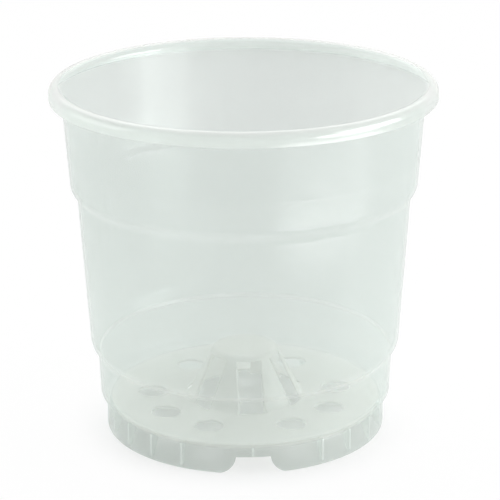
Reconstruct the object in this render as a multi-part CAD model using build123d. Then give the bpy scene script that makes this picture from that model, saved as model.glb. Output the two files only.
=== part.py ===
from build123d import *
import os
from math import cos, hypot, radians, sin, sqrt

# Clear orchid pot: rolled rim, stepped tapering wall, drained floor with a slotted
# vent cone, and a notched foot ring stiffened by gusset ribs.
# The pot is one moulding. Its zones are separate solids that meet face to face.
# Millimetres, +Z up, origin in the middle of the foot, on the surface it stands on.
# The first foot notch faces -Y, and angles are measured from there towards +X.

# Overall
rim_diameter = 150.0
pot_height = 140.0
wall = 1.1

# Rolled rim: the wall curls outwards in short runs, and its lip turns down again
rim_roll_radius = 3.0
roll_runs = 8
hollow_runs = 3
lip_drop = 2.6

# Wall, from the rim down: radius lost over each zone, and the two steps
upper_band_height = 34.9
upper_band_taper = 2.5
upper_step_height = 3.5
upper_step_inset = 2.5
side_wall_taper = 3.9
lower_step_height = 4.4
lower_step_inset = 2.7
lower_band_height = 17.5
lower_band_taper = 0.7
heel_height = 1.0
heel_inset = 2.3
heel_lift = 1.5

# Floor
floor_level = 11.0
floor_thickness = 1.2

# Drain holes, in groups midway between the foot notches
drain_diameter = 11.5
drain_groups = 3
drains_per_group = 3
drain_spacing = 34.4
drain_inset = 1.2

# Vent cone
cone_foot_diameter = 45.0
cone_top_diameter = 25.0
cone_height = 20.0
cap_band_height = 2.0
slot_count = 6
slot_width = 9.5
slot_reach = 1.0
slot_turn = 4.0

# Foot notches, with rounded corners on the lobes between them
notch_count = 3
notch_width = 13.3
notch_height = 6.9
notch_corner_radius = 7.7
notch_corner_dip = 0.1

# Gusset ribs between the floor and the foot ring
ribs_per_turn = 24
rib_thickness = 1.0
rib_depth = 4.0
rib_toe = 1.0
rib_ground_gap = 1.0
rib_clearance = 0.05

# Levels
floor_underside = floor_level - floor_thickness
heel_level = floor_level + heel_lift
lower_band_foot = heel_level + heel_height
lower_step_level = lower_band_foot + lower_band_height
side_wall_foot = lower_step_level + lower_step_height
roll_level = pot_height - rim_roll_radius
rim_seat = roll_level - lip_drop
upper_band_foot = rim_seat - upper_band_height
upper_step_level = upper_band_foot - upper_step_height
cone_top = floor_level + cone_height
slot_top = cone_top - cap_band_height

# Outer radii
rim_radius = rim_diameter / 2
roll_centre = rim_radius - rim_roll_radius
wall_top_radius = roll_centre - rim_roll_radius + wall
upper_band_foot_radius = wall_top_radius - upper_band_taper
side_wall_top_radius = upper_band_foot_radius - upper_step_inset
side_wall_foot_radius = side_wall_top_radius - side_wall_taper
lower_band_top_radius = side_wall_foot_radius - lower_step_inset
lower_band_foot_radius = lower_band_top_radius - lower_band_taper
foot_radius = lower_band_foot_radius - heel_inset
skirt_inner_radius = foot_radius - wall
cone_foot_radius = cone_foot_diameter / 2
cone_top_radius = cone_top_diameter / 2
drain_circle_radius = (cone_foot_radius + skirt_inner_radius) / 2 - drain_inset

cone_slope = (cone_foot_radius - cone_top_radius) / cone_height
cone_wall_width = wall * hypot(1, cone_slope)
notch_pitch = 360 / notch_count


def facing(shape, angle):
    """Turn a shape that is drawn facing -Y to an angle from the first notch."""
    return Rot(0, 0, angle) * shape


def section(*points):
    """A face in the XZ plane through (radius, height) points."""
    return Plane.XZ * make_face(Polyline(*points, close=True))


def turned(face):
    """A solid of revolution about the pot's axis."""
    return revolve(face, Axis.Z)


def inset_line(points, distance):
    """The same line moved towards the axis by a distance square to each run, with mitred corners."""
    runs = []
    for (r0, z0), (r1, z1) in zip(points, points[1:]):
        length = hypot(r1 - r0, z1 - z0)
        runs.append((-(z1 - z0) / length, (r1 - r0) / length))
    moved = []
    for index, (radius, height) in enumerate(points):
        before = runs[max(index - 1, 0)]
        after = runs[min(index, len(runs) - 1)]
        scale = distance / (1 + before[0] * after[0] + before[1] * after[1])
        moved.append((radius + scale * (before[0] + after[0]), height + scale * (before[1] + after[1])))
    return moved


def wall_section():
    """The wall's cross-section, from below the ground up to past the rim's seat."""
    outside = [
        (foot_radius, -wall),
        (foot_radius, heel_level),
        (lower_band_foot_radius, lower_band_foot),
        (lower_band_top_radius, lower_step_level),
        (side_wall_foot_radius, side_wall_foot),
        (side_wall_top_radius, upper_step_level),
        (upper_band_foot_radius, upper_band_foot),
        (wall_top_radius, rim_seat - wall),
        (wall_top_radius, rim_seat + wall),
    ]
    return section(*outside, *reversed(inset_line(outside, wall)))


def wall_zone(low, high):
    """One zone of the wall, between two levels."""
    band = section((0, low), (rim_diameter, low), (rim_diameter, high), (0, high))
    return turned(wall_section() & band)


def roll_line(radius, runs):
    """Half a circle over the roll's centre, in straight runs from its outer side to its inner side."""
    turns = [radians(180 * step / runs) for step in range(runs + 1)]
    return [(roll_centre + radius * cos(turn), roll_level + radius * sin(turn)) for turn in turns]


def rolled_rim():
    """The wall's top, curled over the roll's centre and down to the lip's edge, hollow underneath."""
    hollow = rim_roll_radius - wall
    return turned(section(
        (roll_centre + rim_roll_radius, rim_seat),
        *roll_line(rim_roll_radius, roll_runs),
        (roll_centre - rim_roll_radius, rim_seat),
        (roll_centre - hollow, rim_seat),
        *reversed(roll_line(hollow, hollow_runs)),
        (roll_centre + hollow, rim_seat),
    ))


def foot_notch():
    """The cutter for one foot notch, facing -Y."""
    half = notch_width / 2
    centre_height = notch_corner_radius - notch_corner_dip
    centre = half + sqrt(notch_corner_radius**2 - (centre_height - notch_height) ** 2)
    foot = centre - sqrt(notch_corner_radius**2 - centre_height**2)
    outline = [
        Line((-half, notch_height), (half, notch_height)),
        RadiusArc((half, notch_height), (foot, 0), -notch_corner_radius),
        Polyline((foot, 0), (foot, -wall), (-foot, -wall), (-foot, 0)),
        RadiusArc((-foot, 0), (-half, notch_height), -notch_corner_radius),
    ]
    return extrude(Plane.XZ * make_face(outline), amount=rim_radius)


def foot_ring():
    """The skirt that the pot stands on, cut by the notches."""
    ring = wall_zone(0, floor_underside)
    notch = foot_notch()
    for index in range(notch_count):
        ring -= facing(notch, index * notch_pitch)
    return ring


def slot_bars(length, low, high):
    """Bars the width of a slot, each one laid along a radius."""
    bar = Pos(0, -length / 2, (low + high) / 2) * Box(slot_width, length, high - low)
    return [facing(bar, slot_turn + index * 360 / slot_count) for index in range(slot_count)]


def floor_plate():
    """The floor, open under the cone and its slots and pierced by the drain holes."""
    plate = Pos(0, 0, (floor_level + floor_underside) / 2) * Cylinder(foot_radius, floor_thickness)
    plate -= Pos(0, 0, floor_level) * Cylinder(cone_foot_radius - cone_wall_width, 2 * cone_height)
    for bar in slot_bars(cone_foot_radius + slot_reach, floor_underside - wall, floor_level + wall):
        plate -= bar
    drain = Pos(0, -drain_circle_radius, floor_level) * Cylinder(drain_diameter / 2, 2 * cone_height)
    for group in range(drain_groups):
        middle = (group + 0.5) * 360 / drain_groups
        for place in range(drains_per_group):
            plate -= facing(drain, middle + (place - (drains_per_group - 1) / 2) * drain_spacing)
    return plate


def cone_radius(height):
    """The cone's outer radius at a height."""
    return cone_foot_radius - cone_slope * (height - floor_level)


def cone_panels():
    """The staves of the vent cone, which stand on the floor between the slots."""
    stave = turned(section(
        (cone_radius(floor_level), floor_level),
        (cone_radius(slot_top), slot_top),
        (cone_radius(slot_top) - cone_wall_width, slot_top),
        (cone_radius(floor_level) - cone_wall_width, floor_level),
    ))
    for bar in slot_bars(cone_foot_diameter, floor_level - wall, slot_top + wall):
        stave -= bar
    return stave


def cone_cap():
    """The closed top of the vent cone, with the band that ties the staves together."""
    cap_underside = cone_top - wall
    return turned(section(
        (0, cone_top),
        (cone_top_radius, cone_top),
        (cone_radius(slot_top), slot_top),
        (cone_radius(slot_top) - cone_wall_width, slot_top),
        (cone_radius(cap_underside) - cone_wall_width, cap_underside),
        (0, cap_underside),
    ))


def gusset(low):
    """One rib under the floor, facing -Y, that narrows towards its foot."""
    back = skirt_inner_radius - rib_clearance
    outline = section(
        (back, floor_underside),
        (back, low),
        (back - rib_toe, low),
        (back - rib_depth, floor_underside),
    )
    return Rot(0, 0, -90) * extrude(outline, amount=rib_thickness / 2, both=True)


def foot_ribs():
    """Ribs at an even pitch, short over each notch and left out just beside it."""
    per_sector = ribs_per_turn // notch_count
    ribs = []
    for index in range(ribs_per_turn):
        step = index % per_sector
        if step in (1, per_sector - 1):
            continue
        low = notch_height if step == 0 else rib_ground_gap
        ribs.append(facing(gusset(low), index * 360 / ribs_per_turn))
    return Compound(children=ribs)


nodes = {
    "rolled_rim": rolled_rim(),
    "upper_band": wall_zone(upper_band_foot, rim_seat),
    "upper_step": wall_zone(upper_step_level, upper_band_foot),
    "side_wall": wall_zone(side_wall_foot, upper_step_level),
    "lower_step": wall_zone(lower_step_level, side_wall_foot),
    "lower_band": wall_zone(floor_level, lower_step_level),
    "floor_plate": floor_plate(),
    "foot_ring": foot_ring(),
    "foot_ribs": foot_ribs(),
    "cone_panels": cone_panels(),
    "cone_cap": cone_cap(),
}

os.makedirs("parts", exist_ok=True)
for name, shape in nodes.items():
    export_step(shape, f"parts/{name}.step")
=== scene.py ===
from math import hypot, radians, tau

import bpy
from bpy.props import FloatProperty, FloatVectorProperty, IntProperty, PointerProperty
from mathutils import Matrix, Vector


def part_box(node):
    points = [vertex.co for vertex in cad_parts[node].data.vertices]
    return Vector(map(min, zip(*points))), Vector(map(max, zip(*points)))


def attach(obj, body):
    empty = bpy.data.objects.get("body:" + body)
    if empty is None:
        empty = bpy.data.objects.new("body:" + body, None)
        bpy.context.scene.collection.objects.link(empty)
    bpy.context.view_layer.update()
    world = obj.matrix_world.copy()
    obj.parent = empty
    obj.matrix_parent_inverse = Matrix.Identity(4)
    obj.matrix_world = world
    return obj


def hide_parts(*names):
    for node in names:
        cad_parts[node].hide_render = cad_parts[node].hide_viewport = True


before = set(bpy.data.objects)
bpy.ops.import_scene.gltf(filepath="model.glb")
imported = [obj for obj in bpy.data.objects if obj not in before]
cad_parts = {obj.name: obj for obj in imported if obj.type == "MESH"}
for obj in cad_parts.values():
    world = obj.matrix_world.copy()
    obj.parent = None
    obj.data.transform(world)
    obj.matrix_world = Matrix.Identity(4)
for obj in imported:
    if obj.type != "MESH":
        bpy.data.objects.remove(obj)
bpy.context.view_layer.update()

bl_info = {
    "name": "Orchid Pot",
    "version": (1, 0, 0),
    "blender": (4, 5, 0),
    "location": "View3D > Sidebar > Orchid Pot",
    "description": "Clear moulded orchid pot with a slotted vent cone, on a studio floor",
    "category": "Add Mesh",
}

# Edges that turn by more than this stay sharp in the shading
sharp_angle = radians(32)


def node_foot(node):
    """The lowest level of a node of the frame."""
    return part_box(node)[0].z


def node_top(node):
    """The highest level of a node of the frame."""
    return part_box(node)[1].z


def node_reach(node):
    """The largest radius of a node of the frame."""
    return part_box(node)[1].x


def length(name, description, default):
    """A property that holds a length in metres."""
    return FloatProperty(name=name, description=description, default=default, min=0.0, precision=5, unit="LENGTH")


def angle(name, description, default):
    """A property that holds an angle, whose default is given in degrees."""
    return FloatProperty(name=name, description=description, default=radians(default), unit="ROTATION")


def share(name, description, default):
    """A property that holds a share between none and all."""
    return FloatProperty(name=name, description=description, default=default, min=0.0, max=1.0, subtype="FACTOR")


def level(name, description, default):
    """A property that holds a brightness, a lamp's power or a focal length."""
    return FloatProperty(name=name, description=description, default=default, min=0.0)


def count(name, description, default):
    """A property that holds a whole number."""
    return IntProperty(name=name, description=description, default=default, min=1)


def position(name, description, default):
    """A property that holds a point in metres."""
    return FloatVectorProperty(
        name=name, description=description, default=default, size=3, precision=5, subtype="TRANSLATION"
    )


def colour(name, description, default):
    """A property that holds a colour in linear values."""
    return FloatVectorProperty(
        name=name, description=description, default=default, size=3, min=0.0, max=1.0, subtype="COLOR"
    )


class PotSizes(bpy.types.PropertyGroup):
    """Sizes of the moulding. Levels and outer radii come from the frame."""

    wall: length("Wall", "Thickness of the moulding's wall", 0.0011)
    pot_top: length("Pot top", "Level of the rim's top", node_top("rolled_rim"))
    rim_seat: length("Rim seat", "Level where the wall meets the rolled rim", node_foot("rolled_rim"))
    rim_radius: length("Rim radius", "Outer radius of the rolled rim", node_reach("rolled_rim"))
    rim_roll: length("Rim roll", "Radius of the rim's roll", 0.003)
    upper_band_radius: length("Upper band radius", "Radius at the top of the upper band", node_reach("upper_band"))
    upper_step_top: length("Upper step top", "Level of the first shoulder's outer edge", node_top("upper_step"))
    upper_step_radius: length("Upper step radius", "Radius of the first shoulder", node_reach("upper_step"))
    side_wall_top: length("Side wall top", "Level of the first shoulder's inner edge", node_top("side_wall"))
    side_wall_radius: length("Side wall radius", "Radius at the top of the side wall", node_reach("side_wall"))
    lower_step_top: length("Lower step top", "Level of the second shoulder's outer edge", node_top("lower_step"))
    lower_step_radius: length("Lower step radius", "Radius of the second shoulder", node_reach("lower_step"))
    lower_band_top: length("Lower band top", "Level of the second shoulder's inner edge", node_top("lower_band"))
    lower_band_radius: length("Lower band radius", "Radius at the top of the lower band", node_reach("lower_band"))
    heel_top: length("Heel top", "Level where the lower band turns in to the heel", 0.0135)
    heel_radius: length("Heel radius", "Radius at the foot of the lower band", 0.0578)
    heel_foot: length("Heel foot", "Level where the heel meets the foot ring", 0.0125)
    foot_radius: length("Foot radius", "Outer radius of the foot ring", node_reach("foot_ring"))
    floor_top: length("Floor top", "Level of the floor's top", node_top("floor_plate"))
    floor_underside: length("Floor underside", "Level of the floor's underside", node_foot("floor_plate"))
    ring_level: length("Ring level", "Level of the fine ring on the upper band", 0.112)
    ring_height: length("Ring height", "How far the fine ring stands out", 0.00008)

    cone_radius: length("Cone radius", "Outer radius of the vent cone at the floor", node_reach("cone_panels"))
    cone_top: length("Cone top", "Level of the vent cone's top", node_top("cone_cap"))
    cone_top_radius: length("Cone top radius", "Outer radius of the vent cone's top", 0.0125)
    slot_top: length("Slot top", "Level where the vent slots end", node_foot("cone_cap"))
    slot_count: count("Slots", "Number of vent slots", 6)
    slot_width: length("Slot width", "Width of a vent slot inside the cone", 0.0093)
    slot_flare: length("Slot flare", "How far each side of a slot spreads through the wall", 0.0018)
    slot_reach: length("Slot reach", "How far a slot runs out into the floor", 0.001)
    slot_turn: angle("Slot turn", "Angle of the first slot from the first notch", 4.0)
    gate_radius: length("Gate radius", "Radius of the moulding's gate mark under the cone's top", 0.0016)
    gate_height: length("Gate height", "Height of the moulding's gate mark", 0.0004)

    drain_radius: length("Drain radius", "Radius of a drain hole", 0.00575)
    drain_circle: length("Drain circle", "Radius of the circle that the drain holes stand on", 0.03725)
    drain_bevel: length("Drain bevel", "Width of the bevel round a drain hole", 0.0003)
    drain_spacing: angle("Drain spacing", "Angle between the drain holes of a group", 34.4)
    drain_facets: count("Drain facets", "Faces round a drain hole", 48)

    notch_count: count("Notches", "Number of notches in the foot ring", 3)
    notch_half_width: length("Notch half width", "Half the width of a notch at its top", 0.00661)
    notch_height: length("Notch height", "Level of a notch's top", 0.0069)
    notch_round: length("Notch round", "Radius of the rounded corners beside a notch", 0.0077)
    notch_dip: length("Notch dip", "How far the corner's curve would run below the floor", 0.0001)

    rib_thickness: length("Rib thickness", "Thickness of a gusset rib", 0.001)
    rib_depth: length("Rib depth", "Depth of a gusset rib under the floor", 0.004)
    rib_toe: length("Rib toe", "Depth of a gusset rib at its foot", 0.001)
    rib_foot: length("Rib foot", "Level of a gusset rib's foot", 0.001)
    rib_root: length("Rib root", "How far a gusset rib is rooted in the floor and the foot ring", 0.0003)
    ribs_per_turn: count("Rib places", "Places for ribs round the foot ring", 24)

    edge_round: length("Edge round", "Rounding of the moulding's plain edges", 0.0004)
    step_round: length("Step round", "Rounding of the two shoulders", 0.0013)
    corner_round: length("Corner round", "Fillet where the floor meets the wall and the cone", 0.0009)
    facets: count("Facets", "Faces round the pot", 320)


class PlasticFinish(bpy.types.PropertyGroup):
    """Colours and finish of the clear plastic."""

    tint: colour("Tint", "Colour of the light that the milky plastic returns", (0.683, 0.73, 0.712))
    # A lighter milk colour for the rim, the floor with its cone and the inside of the second shoulder: painted light
    # where the lamps leave them darker, not a thicker plastic
    painted_light_tint: colour("Painted light tint", "The same colour in the thick rim, floor and cone", (0.96, 0.935, 0.905))
    glow_tint: colour("Glow tint", "Colour of the light that the milky plastic lets through", (0.985, 0.975, 0.95))
    opacity: share("Opacity", "How much one surface of the plastic hides", 0.24)
    # Along the steps this added opacity paints highlight lines
    edge_opacity: share("Edge opacity", "Opacity added in the rim and along the steps", 0.16)
    base_opacity: share("Base opacity", "Opacity added in the floor and the cone", 0.20)
    clear_tint: colour("Clear tint", "Colour that one surface gives to what is seen through it", (0.976, 1.0, 0.991))
    glow: share("Glow", "Share of the scattered light that passes through to the other side", 0.5)
    cloudiness: share("Cloudiness", "How much the milkiness varies in soft clouds", 0.05)
    streaks: share("Streaks", "How much the milkiness varies along the flow in the mould", 0.02)
    roughness: share("Roughness", "Roughness of the moulded surface", 0.20)
    rough_clouds: share("Rough clouds", "How much the roughness varies in soft clouds", 0.10)
    scuffing: share("Scuffing", "Roughness added along fine handling scuffs", 0.04)
    shine: share("Shine", "How much the plastic mirrors, seen square on", 0.04)
    edge_shine: share("Edge shine", "How much more it mirrors, seen edge on", 0.2)
    rim_shine: share("Rim shine", "How much more the rolled rim mirrors", 0.10)
    weld_shine: share("Weld shine", "How much more the ribs mirror along the foot ring", 0.4)


class StudioSetup(bpy.types.PropertyGroup):
    """Floor, light and camera."""

    floor_size: length("Floor size", "Length of the studio floor's sides", 8.0)
    floor_drop: length("Floor drop", "How far the studio floor lies below the pot's foot", 0.0001)
    floor_tone: colour("Floor tone", "Colour of the studio floor", (0.82, 0.82, 0.82))
    floor_white: share("Floor white", "How far the floor is washed out to white in the picture", 0.94)
    shadow_white: share("Shadow white", "The same under the pot, where its shadow stays", 0.5)
    ambient: level("Ambient", "Brightness of the light from all round", 0.59)
    backlight: share("Backlight", "How much more of that light comes from behind than from the front", 0.95)
    key_power: level("Key power", "Power of the softbox on the right, in watts", 6.3)
    fill_power: level("Fill power", "Power of the panel on the left, in watts", 1.3)
    card_power: level("Card power", "Power of the standing card that the gloss mirrors, in watts", 0.66)
    low_card_power: level("Low card power", "Power of the card on the floor that the gloss mirrors, in watts", 0.20)
    top_power: level("Top power", "Power of the panel overhead, in watts", 2.2)
    back_power: level("Back power", "Power of the high panel behind, in watts", 3.0)
    foot_power: level("Foot power", "Power of each low lamp beside the foot, in watts", 0.010)
    lens: level("Lens", "Focal length of the camera, in millimetres", 156.67)
    lens_shift: share("Lens shift", "How far the lens is shifted to the right, as a share of the picture", 0.01114)
    camera_place: position("Camera place", "Where the camera stands", (-0.04392, -0.81103, 0.35019))
    camera_turn: angle("Camera turn", "Turn of the camera about the vertical, to the left", -3.1)
    camera_dip: angle("Camera dip", "How far the camera looks down", 18.961)
    camera_roll: angle("Camera roll", "How far the camera leans to one side", -0.305)


class Wire:
    """A socket of a node tree. A sum of wires and numbers adds the Math nodes that work it out."""

    def __init__(self, tree, socket=None):
        self.tree = tree
        self.socket = socket

    def node(self, kind, settings=None, inputs=None, output=0):
        """Add a node, set it up, fill or link its inputs, and give one of its outputs."""
        made = self.tree.nodes.new("ShaderNode" + kind)
        for name, value in (settings or {}).items():
            setattr(made, name, value)
        for name, value in (inputs or {}).items():
            if isinstance(value, Wire):
                self.tree.links.new(value.socket, made.inputs[name])
            else:
                made.inputs[name].default_value = value
        return Wire(self.tree, made.outputs[output] if made.outputs else None)

    def math(self, operation, *values):
        """Add a Math node on wires and numbers."""
        return self.node("Math", {"operation": operation}, dict(enumerate(values)))

    def __add__(self, other):
        return self.math("ADD", self, other)

    def __radd__(self, other):
        return self.math("ADD", other, self)

    def __sub__(self, other):
        return self.math("SUBTRACT", self, other)

    def __rsub__(self, other):
        return self.math("SUBTRACT", other, self)

    def __mul__(self, other):
        return self.math("MULTIPLY", self, other)

    def __rmul__(self, other):
        return self.math("MULTIPLY", other, self)

    def above(self, low, high):
        """A mask that rises from none at low to all at high."""
        return self.node("MapRange", {"interpolation_type": "SMOOTHSTEP"}, {0: self, 1: low, 2: high})

    def near(self, place, width):
        """A mask that is all at a place and fades to none a width away."""
        gap = self - place
        return 1.0 - gap.math("ABSOLUTE", gap).above(0.0, width)


def new_sheet(owner):
    """An empty node tree for a material or a world, as a wire to start from."""
    owner.use_nodes = True
    owner.node_tree.nodes.clear()
    return Wire(owner.node_tree)


def deselect():
    """Leave edit mode and select nothing."""
    if bpy.context.object and bpy.context.object.mode != "OBJECT":
        bpy.ops.object.mode_set(mode="OBJECT")
    bpy.ops.object.select_all(action="DESELECT")


def activate(piece):
    """Select one piece alone and make it the active one."""
    deselect()
    piece.select_set(True)
    bpy.context.view_layer.objects.active = piece


def draw_line(name, points):
    """A new object of one line of edges through the points, left in edit mode."""
    deselect()
    bpy.ops.mesh.primitive_plane_add(size=1.0, location=(0.0, 0.0, 0.0))
    line = bpy.context.object
    line.name = name
    bpy.ops.object.mode_set(mode="EDIT")
    bpy.ops.mesh.merge(type="CENTER")
    bpy.ops.transform.translate(value=points[0])
    for start, end in zip(points, points[1:]):
        bpy.ops.mesh.extrude_region_move(TRANSFORM_OT_translate={"value": Vector(end) - Vector(start)})
    return line


def select_where(piece, test):
    """Select the vertices of a piece in edit mode by a test of their place."""
    bpy.ops.mesh.select_mode(type="VERT")
    bpy.ops.mesh.select_all(action="DESELECT")
    bpy.ops.object.mode_set(mode="OBJECT")
    for vertex in piece.data.vertices:
        vertex.select = test(vertex.co)
    bpy.ops.object.mode_set(mode="EDIT")


def round_corners(line, corners, rounding, segments):
    """Round the corners of a drawn line."""
    places = [Vector(corner) for corner in corners]
    select_where(line, lambda co: any((co - place).length < 1e-6 for place in places))
    bpy.ops.mesh.bevel(affect="VERTICES", offset=rounding, segments=segments, profile=0.5)


def close_mesh():
    """Merge the doubles of the piece in edit mode, turn its faces outwards and leave edit mode."""
    bpy.ops.mesh.select_all(action="SELECT")
    bpy.ops.mesh.remove_doubles(threshold=1e-6)
    bpy.ops.mesh.normals_make_consistent(inside=False)
    bpy.ops.object.mode_set(mode="OBJECT")


def fill_and_extrude(step):
    """Fill the outline that is drawn and extrude it to a solid."""
    bpy.ops.mesh.select_all(action="SELECT")
    bpy.ops.mesh.edge_face_add()
    bpy.ops.mesh.extrude_region_move(TRANSFORM_OT_translate={"value": step})


def turned_copies(master, turns):
    """Copies of a piece turned about the pot's axis, joined into the piece's place."""
    copies = []
    for turn in turns:
        copy = master.copy()
        copy.data = master.data.copy()
        copy.rotation_euler.z = turn
        bpy.context.collection.objects.link(copy)
        copies.append(copy)
    bpy.data.objects.remove(master)
    deselect()
    for copy in copies:
        copy.select_set(True)
    bpy.context.view_layer.objects.active = copies[0]
    bpy.ops.object.transform_apply(location=False, rotation=True, scale=False)
    bpy.ops.object.join()
    return copies[0]


def cut(piece, cutter):
    """Take a cutter's shape out of a piece."""
    activate(piece)
    modifier = piece.modifiers.new("cut", "BOOLEAN")
    modifier.operation = "DIFFERENCE"
    modifier.solver = "EXACT"
    modifier.object = cutter
    bpy.ops.object.modifier_apply(modifier=modifier.name)
    bpy.data.objects.remove(cutter)


def finish_piece(piece, material, nodes):
    """Shade a piece, give it its material and set it on the frame in place of its nodes."""
    activate(piece)
    bpy.ops.object.shade_smooth_by_angle(angle=sharp_angle)
    piece.data.name = piece.name
    piece.data.materials.clear()
    piece.data.materials.append(material)
    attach(piece, "root")
    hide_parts(*nodes)


def inset_line(points, distance):
    """The same line moved towards the axis, square to each run, with mitred corners."""
    runs = []
    for (r0, z0), (r1, z1) in zip(points, points[1:]):
        run = hypot(r1 - r0, z1 - z0)
        runs.append((-(z1 - z0) / run, (r1 - r0) / run))
    moved = []
    for index, (radius, height) in enumerate(points):
        before = runs[max(index - 1, 0)]
        after = runs[min(index, len(runs) - 1)]
        scale = distance / (1 + before[0] * after[0] + before[1] * after[1])
        moved.append((radius + scale * (before[0] + after[0]), height + scale * (before[1] + after[1])))
    return moved


def wall_lines(size):
    """The wall's outer and inner lines, from the heel up to the rim's roll, as (radius, height) points."""
    steps = [
        (size.foot_radius, size.heel_foot),
        (size.heel_radius, size.heel_top),
        (size.lower_band_radius, size.lower_band_top),
        (size.lower_step_radius, size.lower_step_top),
        (size.side_wall_radius, size.side_wall_top),
        (size.upper_step_radius, size.upper_step_top),
        (size.upper_band_radius, size.rim_seat),
    ]
    whole = [(size.foot_radius, 0.0)] + steps + [(size.upper_band_radius, size.pot_top)]
    return steps, inset_line(whole, size.wall)[1:-1]


def fine_ring(size):
    """The fine ring that stands out on the upper band, from its top edge down."""
    rise = size.rim_seat - size.upper_step_top
    lean = (size.upper_band_radius - size.upper_step_radius) / rise
    radius = size.upper_step_radius + lean * (size.ring_level - size.upper_step_top)
    half = 4 * size.ring_height
    return [
        (radius + lean * half, size.ring_level + half),
        (radius + size.ring_height, size.ring_level),
        (radius - lean * half, size.ring_level - half),
    ]


def cone_lean(size):
    """How fast the vent cone's radius shrinks with height."""
    return (size.cone_radius - size.cone_top_radius) / (size.cone_top - size.floor_top)


def cone_wall(size):
    """The vent cone's wall thickness, measured level."""
    return size.wall * hypot(1.0, cone_lean(size))


def moulding_section(size):
    """Half the moulding's section, as points of radius, height, rounding and segments.

    It runs from the cone's top over the floor, up the wall and over the rim, then down the outside and back
    under the floor to the cone's underside.
    """
    outer, inner = wall_lines(size)
    edge, step, corner = (size.edge_round, 2), (size.step_round, 4), (size.corner_round, 3)
    plain = (0.0, 0)
    # A rounding just under the full radius keeps the two corners of a roll apart
    roll, hollow = (size.rim_roll * 0.995, 10), ((size.rim_roll - size.wall) * 0.99, 6)
    rim_inside = size.rim_radius - 2 * size.rim_roll
    skirt = size.foot_radius - size.wall
    cone_inside = size.cone_radius - cone_wall(size)
    cap_underside = size.cone_top - size.wall
    cap_inside = cone_inside - cone_lean(size) * (cap_underside - size.floor_top)
    section = [
        (0.0, size.cone_top, *plain),
        (size.cone_top_radius, size.cone_top, *step),
        (size.cone_radius, size.floor_top, *step),
        (skirt, size.floor_top, *corner),
        (*inner[0], *edge),
    ]
    section += [(*point, *step) for point in inner[1:-1]]
    section += [
        (rim_inside, size.pot_top, *roll),
        (size.rim_radius, size.pot_top, *roll),
        (size.rim_radius, size.rim_seat, *edge),
        (size.rim_radius - size.wall, size.rim_seat, *edge),
        (size.rim_radius - size.wall, size.pot_top - size.wall, *hollow),
        (rim_inside + size.wall, size.pot_top - size.wall, *hollow),
        (*outer[-1], *plain),
    ]
    section += [(*point, *plain) for point in fine_ring(size)]
    section += [(*point, *step) for point in reversed(outer[1:-1])]
    section += [
        (*outer[0], *edge),
        (size.foot_radius, 0.0, *edge),
        (skirt, 0.0, *edge),
        (skirt, size.floor_underside, *corner),
        (cone_inside, size.floor_underside, *edge),
        (cone_inside, size.floor_top, *edge),
        (cap_inside, cap_underside, *corner),
        (size.gate_radius, cap_underside, *plain),
        (size.gate_radius * 0.85, cap_underside - size.gate_height, *plain),
        (0.0, cap_underside - size.gate_height, *plain),
    ]
    return section


def spin_moulding(size):
    """The moulding before its openings are cut: the section drawn, rounded and spun about the axis."""
    section = moulding_section(size)
    moulding = draw_line("pot_moulding", [(radius, 0.0, height) for radius, height, _, _ in section])
    for rounding, segments in sorted({(r, s) for _, _, r, s in section if s}):
        corners = [(radius, 0.0, height) for radius, height, r, s in section if (r, s) == (rounding, segments)]
        round_corners(moulding, corners, rounding, segments)
    bpy.ops.mesh.select_all(action="SELECT")
    bpy.ops.mesh.spin(
        steps=size.facets, angle=tau, center=(0.0, 0.0, 0.0), axis=(0.0, 0.0, 1.0), use_auto_merge=True
    )
    close_mesh()
    return moulding


def slot_cutters(size):
    """Cutters for the vent slots: leaning bars that follow the cone's wall and spread towards its outside."""
    low = size.floor_underside - 2 * size.wall
    lean = cone_lean(size)
    outside = size.cone_radius + lean * (size.floor_top - low)
    inside = outside - cone_wall(size)
    narrow = size.slot_width / 2
    wide = narrow + size.slot_flare
    right = [
        (narrow, -(inside - 1.5 * size.wall), low),
        (narrow, -inside, low),
        (wide, -outside, low),
        (wide, -(outside + size.slot_reach), low),
    ]
    left = [(-x, y, z) for x, y, z in reversed(right)]
    bar = draw_line("slot_cutter", right + left)
    rise = size.slot_top - low
    fill_and_extrude((0.0, lean * rise, rise))
    close_mesh()
    return turned_copies(bar, [size.slot_turn + tau * index / size.slot_count for index in range(size.slot_count)])


def spread_end(cutter, centre, side, bevel, reach):
    """Spread one end of a round cutter by a bevel and carry it on past the floor's face."""
    select_where(cutter, lambda co: (co.z - centre.z) * side > 0)
    bpy.ops.mesh.extrude_region_move(TRANSFORM_OT_translate={"value": (0.0, 0.0, side * bevel)})
    wider = 1.0 + bevel / reach
    bpy.ops.transform.resize(value=(wider, wider, 1.0), center_override=centre)
    bpy.ops.mesh.extrude_region_move(TRANSFORM_OT_translate={"value": (0.0, 0.0, side * reach)})


def drain_cutters(size):
    """Cutters for the drain holes, three between each two notches, with bevelled edges."""
    thickness = size.floor_top - size.floor_underside
    centre = Vector((0.0, -size.drain_circle, (size.floor_top + size.floor_underside) / 2))
    deselect()
    bpy.ops.mesh.primitive_cylinder_add(
        vertices=size.drain_facets, radius=size.drain_radius, depth=thickness - 2 * size.drain_bevel, location=centre
    )
    drain = bpy.context.object
    bpy.ops.object.transform_apply(location=True, rotation=False, scale=False)
    bpy.ops.object.mode_set(mode="EDIT")
    for side in (1, -1):
        spread_end(drain, centre, side, size.drain_bevel, size.drain_radius)
    close_mesh()
    middles = [tau * (index + 0.5) / size.notch_count for index in range(size.notch_count)]
    return turned_copies(drain, [middle + size.drain_spacing * place for middle in middles for place in (-1, 0, 1)])


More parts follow.
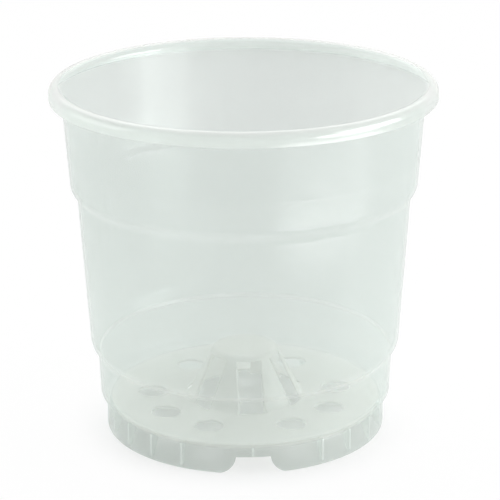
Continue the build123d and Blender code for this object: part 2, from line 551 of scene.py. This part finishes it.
def notch_cutters(size):
    """Cutters for the foot's notches, which curve out to the floor on both sides."""
    outer = size.notch_half_width + 1.2 * size.notch_round
    near = -(size.foot_radius - 10 * size.wall)
    right = [
        (size.notch_half_width, near, 1.5 * size.notch_round),
        (size.notch_half_width, near, -size.notch_dip),
        (outer, near, -size.notch_dip),
        (outer, near, -2 * size.wall),
    ]
    left = [(-x, y, z) for x, y, z in reversed(right)]
    notch = draw_line("notch_cutter", right + left)
    round_corners(notch, [right[1], left[2]], size.notch_round, 12)
    fill_and_extrude((0.0, -20 * size.wall, 0.0))
    bpy.ops.mesh.select_all(action="SELECT")
    bpy.ops.mesh.bisect(
        plane_co=(0.0, 0.0, size.notch_height), plane_no=(0.0, 0.0, 1.0), use_fill=True, clear_outer=True
    )
    close_mesh()
    return turned_copies(notch, [tau * index / size.notch_count for index in range(size.notch_count)])


def gusset(size, low):
    """One gusset rib, rooted in the floor and the foot ring, facing the first notch."""
    skirt = size.foot_radius - size.wall
    back = skirt + size.rib_root
    x = -size.rib_thickness / 2
    outline = [
        (x, -back, size.floor_underside + size.rib_root),
        (x, -back, low),
        (x, -(skirt - size.rib_toe), low),
        (x, -(skirt - size.rib_depth), size.floor_underside),
        (x, -(skirt - size.rib_depth), size.floor_underside + size.rib_root),
    ]
    rib = draw_line("gusset_rib", outline)
    fill_and_extrude((size.rib_thickness, 0.0, 0.0))
    close_mesh()
    activate(rib)
    soften = rib.modifiers.new("soften", "BEVEL")
    soften.width = size.rib_thickness * 0.12
    soften.segments = 2
    bpy.ops.object.modifier_apply(modifier=soften.name)
    return rib


def rim_zones(height, radius, size):
    """Masks of the rolled rim, of its crest and of the hollow under it."""
    fade = 0.0005
    roll_centre = size.rim_radius - size.rim_roll
    rim = height.above(size.rim_seat - fade, size.rim_seat + fade) * radius.above(
        roll_centre - size.rim_roll + size.wall, roll_centre
    )
    out = radius - roll_centre
    over = height - (size.pot_top - size.rim_roll)
    up = over.math("MAXIMUM", over, 0.0)
    from_roll = out * out + up * up
    crest = over.above(0.3 * size.rim_roll, 0.9 * size.rim_roll)
    hollow = rim * (1.0 - from_roll.above((0.68 * size.rim_roll) ** 2, (0.8 * size.rim_roll) ** 2))
    return rim, crest, hollow


def step_glint_zones(height, radius, size):
    """Masks of the first shoulder's edge and of the inside of the second one, where denser milk, lighter on the
    second, paints the shoulders' highlight lines.
    """
    upper_lift, upper_fade = 0.0006, 0.0012
    lower_lift, lower_fade = 0.0004, 0.0014
    upper_step_glint = height.near(size.upper_step_top + upper_lift, upper_fade)
    outside = radius.above(size.lower_band_radius - 0.6 * size.wall, size.lower_band_radius - 0.3 * size.wall)
    lower_step_glint = height.near(size.lower_band_top + lower_lift, lower_fade) * (1.0 - outside)
    return upper_step_glint, lower_step_glint


def base_zones(height, radius, size):
    """Masks of the floor with its cone, and of the lines where the ribs are rooted in the foot ring."""
    fade = 0.001
    foot = 1.0 - height.above(size.heel_foot - fade, size.heel_top)
    skirt = foot * radius.above(size.foot_radius - 2.0 * size.wall, size.foot_radius - 1.2 * size.wall)
    plate = foot * height.above(size.floor_underside - 0.6 * fade, size.floor_underside - 0.2 * fade)
    cone = 1.0 - radius.above(size.cone_radius, size.cone_radius + fade)
    inside = plate.math("MAXIMUM", plate - skirt, cone)
    weld = foot * radius.near(size.foot_radius - size.wall + size.rib_root, 0.5 * size.rib_root)
    return inside, weld


def clear_plastic(finish, size):
    """Milky clear plastic: see-through, denser in the rim, floor and cone, with flow marks and light handling
    scuffs. Its lighter milk colour in the rim, floor and cone and its denser, lighter lines along the shoulders are
    painted light.
    """
    material = bpy.data.materials.get("clear_plastic_moulded") or bpy.data.materials.new("clear_plastic_moulded")
    sheet = new_sheet(material)
    place = sheet.node("TexCoord", output="Object")
    height = sheet.node("SeparateXYZ", inputs={0: place}, output="Z")
    across = sheet.node("VectorMath", {"operation": "MULTIPLY"}, {0: place, 1: (1.0, 1.0, 0.0)})
    radius = sheet.node("VectorMath", {"operation": "LENGTH"}, {0: across}, output="Value")
    rim, crest, hollow = rim_zones(height, radius, size)
    upper_step_glint, lower_step_glint = step_glint_zones(height, radius, size)
    inside, weld = base_zones(height, radius, size)

    along_flow = sheet.node("Mapping", inputs={"Vector": place, "Scale": (260.0, 260.0, 9.0)})
    along_scuffs = sheet.node("Mapping", inputs={
        "Vector": place, "Rotation": (0.5, 0.3, 0.0), "Scale": (340.0, 340.0, 30.0),
    })
    cloud = sheet.node("TexNoise", inputs={"Vector": place, "Scale": 28.0, "Detail": 3.0}) - 0.5
    streak = sheet.node("TexNoise", inputs={"Vector": along_flow, "Scale": 1.0, "Detail": 2.0}) - 0.5
    scuffs = sheet.node("TexNoise", inputs={"Vector": along_scuffs, "Scale": 1.0, "Detail": 1.0}).above(0.60, 0.85)
    mottle = finish.cloudiness * cloud + finish.streaks * streak
    relief = 0.2 * streak + 0.6 * cloud
    bump = sheet.node("Bump", inputs={"Strength": 0.04, "Distance": 0.0004, "Height": relief})

    # The milk that scatters light back, and the glow that passes through it
    # The rim, the floor with its cone and the inside of the second shoulder take the lighter milk colour: painted
    # light
    painted_light_share = rim + inside + lower_step_glint
    mixed_tint = sheet.node("Mix", {"data_type": "RGBA"}, {
        "Factor": painted_light_share, "A": (*finish.tint, 1.0), "B": (*finish.painted_light_tint, 1.0),
    }, output="Result")
    base = sheet.node("VectorMath", {"operation": "SCALE"}, {0: mixed_tint, "Scale": 1.0 + mottle})
    milk = sheet.node("BsdfPrincipled", inputs={
        "Base Color": base, "Roughness": 0.6, "Specular IOR Level": 0.0, "Normal": bump,
    })
    glow = sheet.node("BsdfTranslucent", inputs={"Color": (*finish.glow_tint, 1.0)})
    passed = finish.glow + (0.5 - 0.6 * crest) * rim - 0.45 * inside
    lit = sheet.node("MixShader", inputs={0: passed, 1: milk, 2: glow})

    # What is seen through it, and the gloss over it
    # Denser milk along the two shoulders is a painted highlight of their edges; the rim is denser, and the hollow
    # under it is made clearer
    thick_rim_and_step_glints = rim - 2.3 * hollow + 0.1 * upper_step_glint + 0.5 * lower_step_glint
    opacity = finish.opacity + finish.edge_opacity * thick_rim_and_step_glints + finish.base_opacity * inside + mottle
    clear = sheet.node("BsdfTransparent", inputs={"Color": (*finish.clear_tint, 1.0)})
    body = sheet.node("MixShader", inputs={0: opacity, 1: clear, 2: lit})
    roughness = finish.roughness + finish.rough_clouds * cloud + finish.scuffing * scuffs
    gloss = sheet.node("BsdfPrincipled", inputs={
        "Base Color": (1.0, 1.0, 1.0, 1.0), "Metallic": 1.0, "Roughness": roughness, "Normal": bump,
    })
    edge_on = sheet.node("LayerWeight", inputs={"Blend": 0.5}, output="Facing")
    mirror = (
        finish.shine + finish.edge_shine * edge_on.math("POWER", edge_on, 5.0)
        + finish.rim_shine * (rim - hollow) + finish.weld_shine * weld
    )
    plastic = sheet.node("MixShader", inputs={0: mirror, 1: body, 2: gloss})
    sheet.node("OutputMaterial", inputs={"Surface": plastic})
    return material


class ORCHIDPOT_OT_moulding(bpy.types.Operator):
    """Model the pot's moulding: rim, stepped wall, drained floor, slotted cone and notched foot"""

    bl_idname = "orchidpot.moulding"
    bl_label = "Pot Moulding"

    def execute(self, context):
        size = context.scene.orchid_pot_sizes
        moulding = spin_moulding(size)
        for cutter in (slot_cutters(size), drain_cutters(size), notch_cutters(size)):
            cut(moulding, cutter)
        finish_piece(moulding, clear_plastic(context.scene.orchid_pot_finish, size), (
            "rolled_rim", "upper_band", "upper_step", "side_wall", "lower_step", "lower_band",
            "floor_plate", "foot_ring", "cone_panels", "cone_cap",
        ))
        return {"FINISHED"}


class ORCHIDPOT_OT_gusset_ribs(bpy.types.Operator):
    """Model the gusset ribs under the floor, short over each notch and left out just beside it"""

    bl_idname = "orchidpot.gusset_ribs"
    bl_label = "Gusset Ribs"

    def execute(self, context):
        size = context.scene.orchid_pot_sizes
        pitch = tau / size.ribs_per_turn
        per_sector = size.ribs_per_turn // size.notch_count
        over_notches = [index * pitch for index in range(0, size.ribs_per_turn, per_sector)]
        on_lobes = [
            index * pitch for index in range(size.ribs_per_turn)
            if index % per_sector not in (0, 1, per_sector - 1)
        ]
        short_ribs = turned_copies(gusset(size, size.notch_height), over_notches)
        ribs = turned_copies(gusset(size, size.rib_foot), on_lobes)
        deselect()
        short_ribs.select_set(True)
        ribs.select_set(True)
        context.view_layer.objects.active = ribs
        bpy.ops.object.join()
        ribs.name = "gusset_ribs"
        finish_piece(ribs, clear_plastic(context.scene.orchid_pot_finish, size), ("foot_ribs",))
        return {"FINISHED"}


def seen_directly(sheet):
    """Whether a ray comes straight from the camera, with no plastic in between."""
    seen = sheet.node("LightPath", output="Is Camera Ray")
    through = sheet.node("LightPath", output="Transparent Depth")
    return seen * (1.0 - through.math("MINIMUM", through, 1.0))


def studio_floor(studio, size):
    """A pale floor, washed out to white for the camera and in gloss and glass, that keeps the pot's shadow."""
    deselect()
    bpy.ops.mesh.primitive_plane_add(size=studio.floor_size, location=(0.0, 0.0, -studio.floor_drop))
    floor = bpy.context.object
    floor.name = "studio_floor"
    bpy.ops.object.transform_apply(location=True, rotation=False, scale=False)
    material = bpy.data.materials.new("studio_paper")
    sheet = new_sheet(material)
    direct = seen_directly(sheet)
    tone = sheet.node("Mix", {"data_type": "RGBA"}, {
        "Factor": direct, "A": (*studio.floor_tone, 1.0), "B": (1.0, 1.0, 1.0, 1.0),
    }, output="Result")
    paper = sheet.node("BsdfPrincipled", inputs={"Base Color": tone, "Roughness": 0.9, "Specular IOR Level": 0.1})
    place = sheet.node("TexCoord", output="Object")
    radius = sheet.node("VectorMath", {"operation": "LENGTH"}, {0: place}, output="Value")
    beside = radius.above(0.8 * size.foot_radius, 1.35 * size.foot_radius)
    picture = direct * (studio.shadow_white + (studio.floor_white - studio.shadow_white) * beside)
    mirrored = sheet.node("LightPath", output="Is Glossy Ray")
    refracted = sheet.node("LightPath", output="Is Transmission Ray")
    washed = picture + mirrored + refracted
    white = sheet.node("Emission", inputs={"Color": (1.0, 1.0, 1.0, 1.0), "Strength": 1.0})
    mixed = sheet.node("MixShader", inputs={0: washed, 1: paper, 2: white})
    sheet.node("OutputMaterial", inputs={"Surface": mixed})
    floor.data.materials.append(material)


def soft_panel(name, power, size, place, aim, turn=0.0):
    """A soft rectangular lamp that the camera doesn't see, turned in its own plane."""
    lamp = bpy.data.lights.new(name, "AREA")
    lamp.shape = "RECTANGLE"
    lamp.size, lamp.size_y = size
    lamp.energy = power
    panel = bpy.data.objects.new(name, lamp)
    facing = (Vector(aim) - Vector(place)).to_track_quat("-Z", "Y").to_matrix().to_4x4()
    panel.matrix_world = Matrix.Translation(place) @ facing @ Matrix.Rotation(turn, 4, "Z")
    panel.visible_camera = False
    bpy.context.collection.objects.link(panel)
    return panel


def foot_lamp(name, power, place):
    """A low lamp with a narrow spread that lights the foot from the side and shows in no gloss."""
    lamp = soft_panel(name, power, (0.3, 0.04), place, (0.0, 0.0, 0.008))
    lamp.data.spread = radians(20.0)
    lamp.visible_glossy = False


def gloss_card(name, power, size, place, aim, turn=0.0):
    """A card of light that shows in the gloss alone."""
    card = soft_panel(name, power, size, place, aim, turn)
    card.visible_diffuse = False
    card.visible_transmission = False


def studio_world(studio):
    """Light from all round, stronger from behind, shown white to the camera and in the gloss."""
    world = bpy.data.worlds.new("studio_light")
    bpy.context.scene.world = world
    sheet = new_sheet(world)
    seen = sheet.node("LightPath", output="Is Camera Ray") + sheet.node("LightPath", output="Is Glossy Ray")
    direction = sheet.node("TexCoord", output="Generated")
    towards_back = sheet.node("SeparateXYZ", inputs={0: direction}, output="Y")
    lit = studio.ambient * (1.0 + studio.backlight * towards_back)
    strength = lit + (1.0 - lit) * seen
    light = sheet.node("Background", inputs={"Color": (1.0, 1.0, 1.0, 1.0), "Strength": strength})
    sheet.node("OutputWorld", inputs={"Surface": light})


def studio_camera(studio):
    """The camera, in front of the first notch and a little above the rim."""
    lens = bpy.data.cameras.new("studio_camera")
    lens.sensor_width = 36.0
    lens.lens = studio.lens
    lens.shift_x = studio.lens_shift
    lens.clip_start = 0.01
    camera = bpy.data.objects.new("studio_camera", lens)
    stand = Matrix.Translation(studio.camera_place)
    turn = Matrix.Rotation(studio.camera_turn, 4, "Z")
    tilt = Matrix.Rotation(radians(90.0) - studio.camera_dip, 4, "X")
    roll = Matrix.Rotation(studio.camera_roll, 4, "Z")
    camera.matrix_world = stand @ turn @ tilt @ roll
    bpy.context.collection.objects.link(camera)
    bpy.context.scene.camera = camera


class ORCHIDPOT_OT_stage(bpy.types.Operator):
    """Set up the pale floor, the soft light and the camera"""

    bl_idname = "orchidpot.stage"
    bl_label = "Studio Stage"

    def execute(self, context):
        studio = context.scene.orchid_pot_studio
        studio_floor(studio, context.scene.orchid_pot_sizes)
        studio_world(studio)
        pot_middle = (0.0, 0.0, 0.06)
        soft_panel("key_panel", studio.key_power, (0.8, 0.62), (1.05, -0.3, 0.33), pot_middle)
        soft_panel("fill_panel", studio.fill_power, (0.9, 0.65), (-1.1, 0.1, 0.35), pot_middle)
        top_panel = soft_panel("top_panel", studio.top_power, (0.6, 0.5), (0.0, 0.12, 1.2), pot_middle)
        top_panel.visible_glossy = False
        soft_panel("back_panel", studio.back_power, (1.2, 0.8), (0.0, 0.9, 0.9), pot_middle)
        foot_lamp("foot_lamp_right", studio.foot_power, (0.55, 0.0, 0.03))
        foot_lamp("foot_lamp_left", studio.foot_power, (-0.55, 0.0, 0.03))
        gloss_card("gloss_card", studio.card_power, (0.40, 0.14), (0.49, -0.344, 0.082), (0.0, 0.0, 0.082))
        low_place, straight_up = (0.207, -0.174, 0.002), (0.207, -0.174, 1.0)
        gloss_card("low_card", studio.low_card_power, (0.12, 0.30), low_place, straight_up, radians(50.0))
        studio_camera(studio)
        context.scene.view_settings.view_transform = "Standard"
        context.scene.cycles.transparent_max_bounces = 32
        return {"FINISHED"}


class ORCHIDPOT_PT_sidebar(bpy.types.Panel):
    """The pot's sizes, finish and parts, in the sidebar"""

    bl_idname = "ORCHIDPOT_PT_sidebar"
    bl_label = "Orchid Pot"
    bl_space_type = "VIEW_3D"
    bl_region_type = "UI"
    bl_category = "Orchid Pot"

    def draw(self, context):
        scene = context.scene
        for group in (scene.orchid_pot_sizes, scene.orchid_pot_finish, scene.orchid_pot_studio):
            column = self.layout.column()
            for name in group.__annotations__:
                column.prop(group, name)
        for operator in operators:
            self.layout.operator(operator.bl_idname)


property_groups = {
    "orchid_pot_sizes": PotSizes,
    "orchid_pot_finish": PlasticFinish,
    "orchid_pot_studio": StudioSetup,
}
operators = (ORCHIDPOT_OT_moulding, ORCHIDPOT_OT_gusset_ribs, ORCHIDPOT_OT_stage)


def register():
    for name, group in property_groups.items():
        bpy.utils.register_class(group)
        setattr(bpy.types.Scene, name, PointerProperty(type=group))
    for cls in (*operators, ORCHIDPOT_PT_sidebar):
        bpy.utils.register_class(cls)


def unregister():
    for cls in (ORCHIDPOT_PT_sidebar, *reversed(operators)):
        bpy.utils.unregister_class(cls)
    for name, group in property_groups.items():
        delattr(bpy.types.Scene, name)
        bpy.utils.unregister_class(group)


def main():
    register()
    bpy.ops.orchidpot.moulding()
    bpy.ops.orchidpot.gusset_ribs()
    bpy.ops.orchidpot.stage()


if __name__ == "__main__":
    main()
